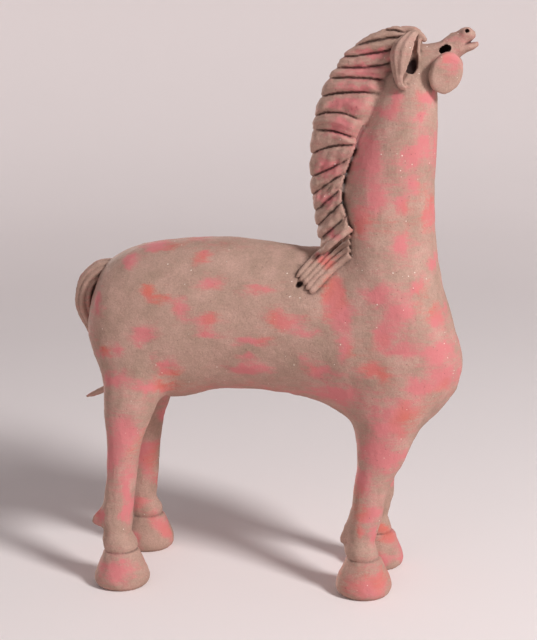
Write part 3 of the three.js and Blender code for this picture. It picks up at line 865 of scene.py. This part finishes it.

# ---- Slip and painted shade ---------------------------------------------------------------
# The slip is rubbed on in patches, most of them on the chest, flank and thighs, and shade is
# painted dark where the clay is hollow. Both are kept on the mesh for the clay's material.
SLIP_PATCHES = [  # x, z, half length, half height on the horse's right side
    # rump and thigh
    (-100, 315, 15, 4), (-121, 300, 8, 5), (-99, 277, 12, 4), (-85, 270, 12, 5), (-71, 262, 8, 8),
    (-105, 237, 12, 9), (-88, 213, 12, 5), (-84, 203, 11, 5), (-98, 189, 16, 5), (-133, 194, 13, 7),
    (-142, 219, 6, 6), (-128, 221, 7, 6), (-148, 262, 6, 10),
    # flank and belly
    (-53, 306, 7, 4), (-47, 284, 13, 7), (-47, 254, 14, 6), (-47, 241, 14, 5), (23, 254, 19, 9),
    (-2, 280, 18, 5), (45, 244, 12, 4), (-4, 235, 20, 4), (-11, 217, 9, 4), (-13, 207, 24, 5),
    (40, 220, 8, 7), (55, 207, 14, 7), (68, 187, 20, 8),
    # shoulder and chest
    (66, 278, 9, 16), (73, 262, 12, 13), (74, 234, 6, 17), (106, 281, 15, 9), (123, 263, 15, 13),
    (108, 246, 9, 12), (127, 233, 18, 6), (136, 284, 8, 8), (153, 258, 8, 10), (156, 228, 13, 9),
    (161, 204, 15, 9), (102, 212, 13, 8), (103, 175, 9, 4), (126, 175, 15, 12), (116, 158, 15, 10),
    (142, 196, 11, 6),
    # neck and cheek
    (111, 435, 10, 6), (114, 447, 5, 8), (142, 448, 9, 7), (136, 429, 6, 5), (92, 396, 12, 21),
    (128, 396, 11, 9), (137, 406, 6, 10), (148, 402, 4, 15), (129, 371, 7, 7), (145, 348, 5, 15),
    (101, 363, 9, 12), (88, 342, 9, 13), (121, 355, 5, 6), (125, 322, 8, 11), (150, 304, 4, 9),
    (160, 478, 9, 5),
    # mane
    (95, 484, 18, 5), (88, 469, 19, 5), (80, 456, 18, 5), (74, 440, 15, 6), (66, 420, 12, 6),
    (56, 386, 10, 7), (55, 360, 9, 6), (64, 330, 7, 5), (56, 306, 9, 5),
    # legs and hooves
    (-126, 147, 14, 16), (-137, 122, 6, 16), (-122, 96, 4, 15), (-123, 74, 4, 12), (-129, 20, 15, 7),
    (-148, 64, 7, 9), (92, 108, 8, 11), (100, 78, 13, 7), (91, 62, 5, 8), (118, 129, 16, 10),
    (104, 137, 13, 9), (100, 15, 20, 9), (104, 56, 5, 9),
]
WASHES = [  # broad thin washes, with how strong each one is
    (125, 200, 60, 60, 0.22),
    (118, 370, 45, 100, 0.3),
    (72, 420, 26, 80, 0.28),
    (165, 500, 34, 26, 0.3),
    (-125, 118, 24, 52, 0.42),
    (100, 110, 26, 55, 0.35),
    (-130, 18, 26, 22, 0.42),
    (97, 18, 28, 22, 0.42),
    (-80, 320, 80, 9, 0.4),
    (-10, 180, 100, 15, 0.5),
    (-160, 240, 16, 70, 0.3),
    (166, 215, 16, 40, 0.35),
]
PATCH_FILL, PATCH_EDGE = 1.05, 2.1  # how full a patch is in its middle, and how sharp at its edge
LEFT_PATCH = 26  # mm across, where the slip on the left side was dabbed on
COARSE_DRIFT, FINE_DRIFT = 6, 4  # how far the edges of the patches wander, in mm
# how dark the painted shade is in creases and in enclosed places
CREASE_SHADE, ENCLOSED_SHADE = 0.85, 0.7


def averaged(volume, cells):
    """The volume averaged over a cube of so many cells, an odd number, about each cell."""
    for axis in range(3):
        ends = [(0, 0)] * 3
        ends[axis] = (cells // 2 + 1, cells // 2)
        total = np.moveaxis(np.cumsum(np.pad(volume, ends, mode="edge"), axis=axis, dtype=float), axis, 0)
        volume = np.moveaxis((total[cells:] - total[:-cells]) / cells, 0, axis).astype(np.float32)
    return volume


points = np.empty(len(finished.vertices) * 3, np.float32)
finished.vertices.foreach_get("co", points)
points = (points.reshape(-1, 3).astype(float) - np.array(plumb)) / MM


def sampled(volume, at):
    """The volume's values at points, in mm."""
    spot = at / GRIT - clay_origin
    base = np.clip(np.floor(spot).astype(int), 0, clay_shape - 2)
    part = spot - base
    total = np.zeros(len(at))
    for corner in np.ndindex(2, 2, 2):
        weight = np.prod(np.where(corner, part, 1 - part), axis=1)
        total += weight * volume[tuple((base + corner).T)]
    return total


# A crease lies below the clay around it, an enclosed place has clay on most sides, and the walls
# of a hole once lay deep under the skin. All three get painted shade. A ridge stands above the clay.
near_lump = np.clip(lump, -6, 6)
bulge = sampled(averaged(near_lump, 5), points) - sampled(near_lump, points)
filled = averaged(averaged(np.clip(0.5 - lump / GRIT, 0, 1), 7), 7)
creased = CREASE_SHADE * np.clip((-bulge - 0.1) / 0.55, 0, 1)
enclosed = ENCLOSED_SHADE * np.clip((sampled(filled, points) - 0.6) / 0.18, 0, 1)
in_holes = np.clip((sampled(under_skin, points) - 0.4) / 2, 0, 1)
painted_shade_mask = np.maximum.reduce([creased, enclosed, in_holes])
ridge = np.clip((bulge - 0.12) / 0.5, 0, 1)

drift = COARSE_DRIFT * np.stack([wavering(points, 17, 3), wavering(points, 15, 8)], 1)
drift += FINE_DRIFT * np.stack([wavering(points, 6, 5), wavering(points, 5, 11)], 1)
x, z = points[:, 0] + drift[:, 0], points[:, 2] + drift[:, 1]
right = np.zeros(len(points))
for px, pz, half_length, half_height in SLIP_PATCHES:
    off = np.hypot((x - px) / half_length, (z - pz) / half_height)
    right = 1 - (1 - right) * (1 - np.exp(-PATCH_FILL * off**PATCH_EDGE))
for px, pz, half_length, half_height, strength in WASHES:
    off = np.hypot((x - px) / half_length, (z - pz) / half_height)
    right = 1 - (1 - right) * (1 - strength * np.exp(-(off**2)))
scattered = np.clip(0.12 + 1.7 * wavering(points * [1, 1, 1.6], LEFT_PATCH, 21), 0, 0.85)
to_right = np.clip(0.5 - points[:, 1] / 24, 0, 1)
slip = right * to_right + scattered * (1 - to_right)
# the slip, the painted shade and the ridges go onto the mesh
for name, values in {"slip": slip, "painted_shade_mask": painted_shade_mask, "ridge": ridge}.items():
    finished.attributes.new(name, "FLOAT", "POINT").data.foreach_set("value", values.astype(np.float32))

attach(horse, "root")
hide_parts("haniwa_horse")

# ---- Floor, light and camera --------------------------------------------------------------
# A pale board that sweeps up all round, a soft lamp from the right front, a weak fill, and a
# lamp behind the left side that lights the horse alone, so it casts no second shadow.
BOARD_WHITE = linear("#f1e8e7")
STUDIO_WHITE = linear("#e8e4e6")
STUDIO_STRENGTH = 0.27
BOARD_SIDES = 96
LAMPS_AIM_UP = 0.25
LAMPS = (  # name, width in m, watts, place from the middle of the horse in m
    ("key", 0.8, 117, (2.4, -1.55, 2.05)),
    ("fill", 1.4, 3, (-0.6, -2.0, 0.8)),
    ("left light", 0.8, 44, (-1.4, 1.5, 0.5)),
)
LENS = 73.1
AIM_UP = 244 * MM
CAMERA_FROM_AIM = 1.196
CAMERA_AZIMUTH, CAMERA_ELEVATION = math.radians(9), math.radians(11)

floor_mesh = bpy.data.meshes.new("pale_board")
radii = np.array([0.02, 0.6, 1.2, 1.7, 2.1, 2.35, 2.5, 2.56, 2.6])
heights = np.array([0, 0, 0, 0, 0.06, 0.18, 0.38, 0.6, 1.1])
turn = np.linspace(0, 2 * math.pi, BOARD_SIDES, endpoint=False)
sweep = [(r * math.cos(a), r * math.sin(a), h) for r, h in zip(radii, heights) for a in turn]
faces = []
for start in range(0, BOARD_SIDES * (len(radii) - 1), BOARD_SIDES):
    for s in range(BOARD_SIDES):
        after = (s + 1) % BOARD_SIDES
        faces.append((start + s, start + after, start + BOARD_SIDES + after, start + BOARD_SIDES + s))
faces.append(tuple(range(BOARD_SIDES - 1, -1, -1)))
floor_mesh.from_pydata(sweep, [], faces)
floor_mesh.shade_smooth()
board = bpy.data.materials.new("matt_white_board")
board.use_nodes = True
board_shader = board.node_tree.nodes["Principled BSDF"]
board_shader.inputs["Base Color"].default_value = BOARD_WHITE
board_shader.inputs["Roughness"].default_value = 0.9
floor_mesh.materials.append(board)
floor = bpy.data.objects.new("pale_board", floor_mesh)
bpy.context.scene.collection.objects.link(floor)

world = bpy.data.worlds.new("studio")
world.use_nodes = True
world.node_tree.nodes["Background"].inputs["Color"].default_value = STUDIO_WHITE
world.node_tree.nodes["Background"].inputs["Strength"].default_value = STUDIO_STRENGTH
bpy.context.scene.world = world

middle = plumb + Vector((0, 0, LAMPS_AIM_UP))
for name, width, watts, from_middle in LAMPS:
    lamp_data = bpy.data.lights.new(name, "AREA")
    lamp_data.shape = "DISK"
    lamp_data.size = width
    lamp_data.energy = watts
    lamp = bpy.data.objects.new(name, lamp_data)
    lamp.location = middle + Vector(from_middle)
    lamp.rotation_euler = (middle - lamp.location).to_track_quat("-Z", "Y").to_euler()
    bpy.context.scene.collection.objects.link(lamp)
lit = bpy.data.collections.new("lit_from_the_left")
lit.objects.link(horse)
lamp.light_linking.receiver_collection = lit
lamp.visible_camera = False

aim = plumb + Vector((0, 0, AIM_UP))
back = Vector((
    math.sin(CAMERA_AZIMUTH) * math.cos(CAMERA_ELEVATION),
    -math.cos(CAMERA_AZIMUTH) * math.cos(CAMERA_ELEVATION),
    math.sin(CAMERA_ELEVATION),
))
camera_data = bpy.data.cameras.new("camera")
camera_data.lens = LENS
camera = bpy.data.objects.new("camera", camera_data)
camera.location = aim + back * CAMERA_FROM_AIM
camera.rotation_euler = (-back).to_track_quat("-Z", "Y").to_euler()
bpy.context.scene.collection.objects.link(camera)
bpy.context.scene.camera = camera
bpy.context.scene.view_settings.view_transform = "Standard"
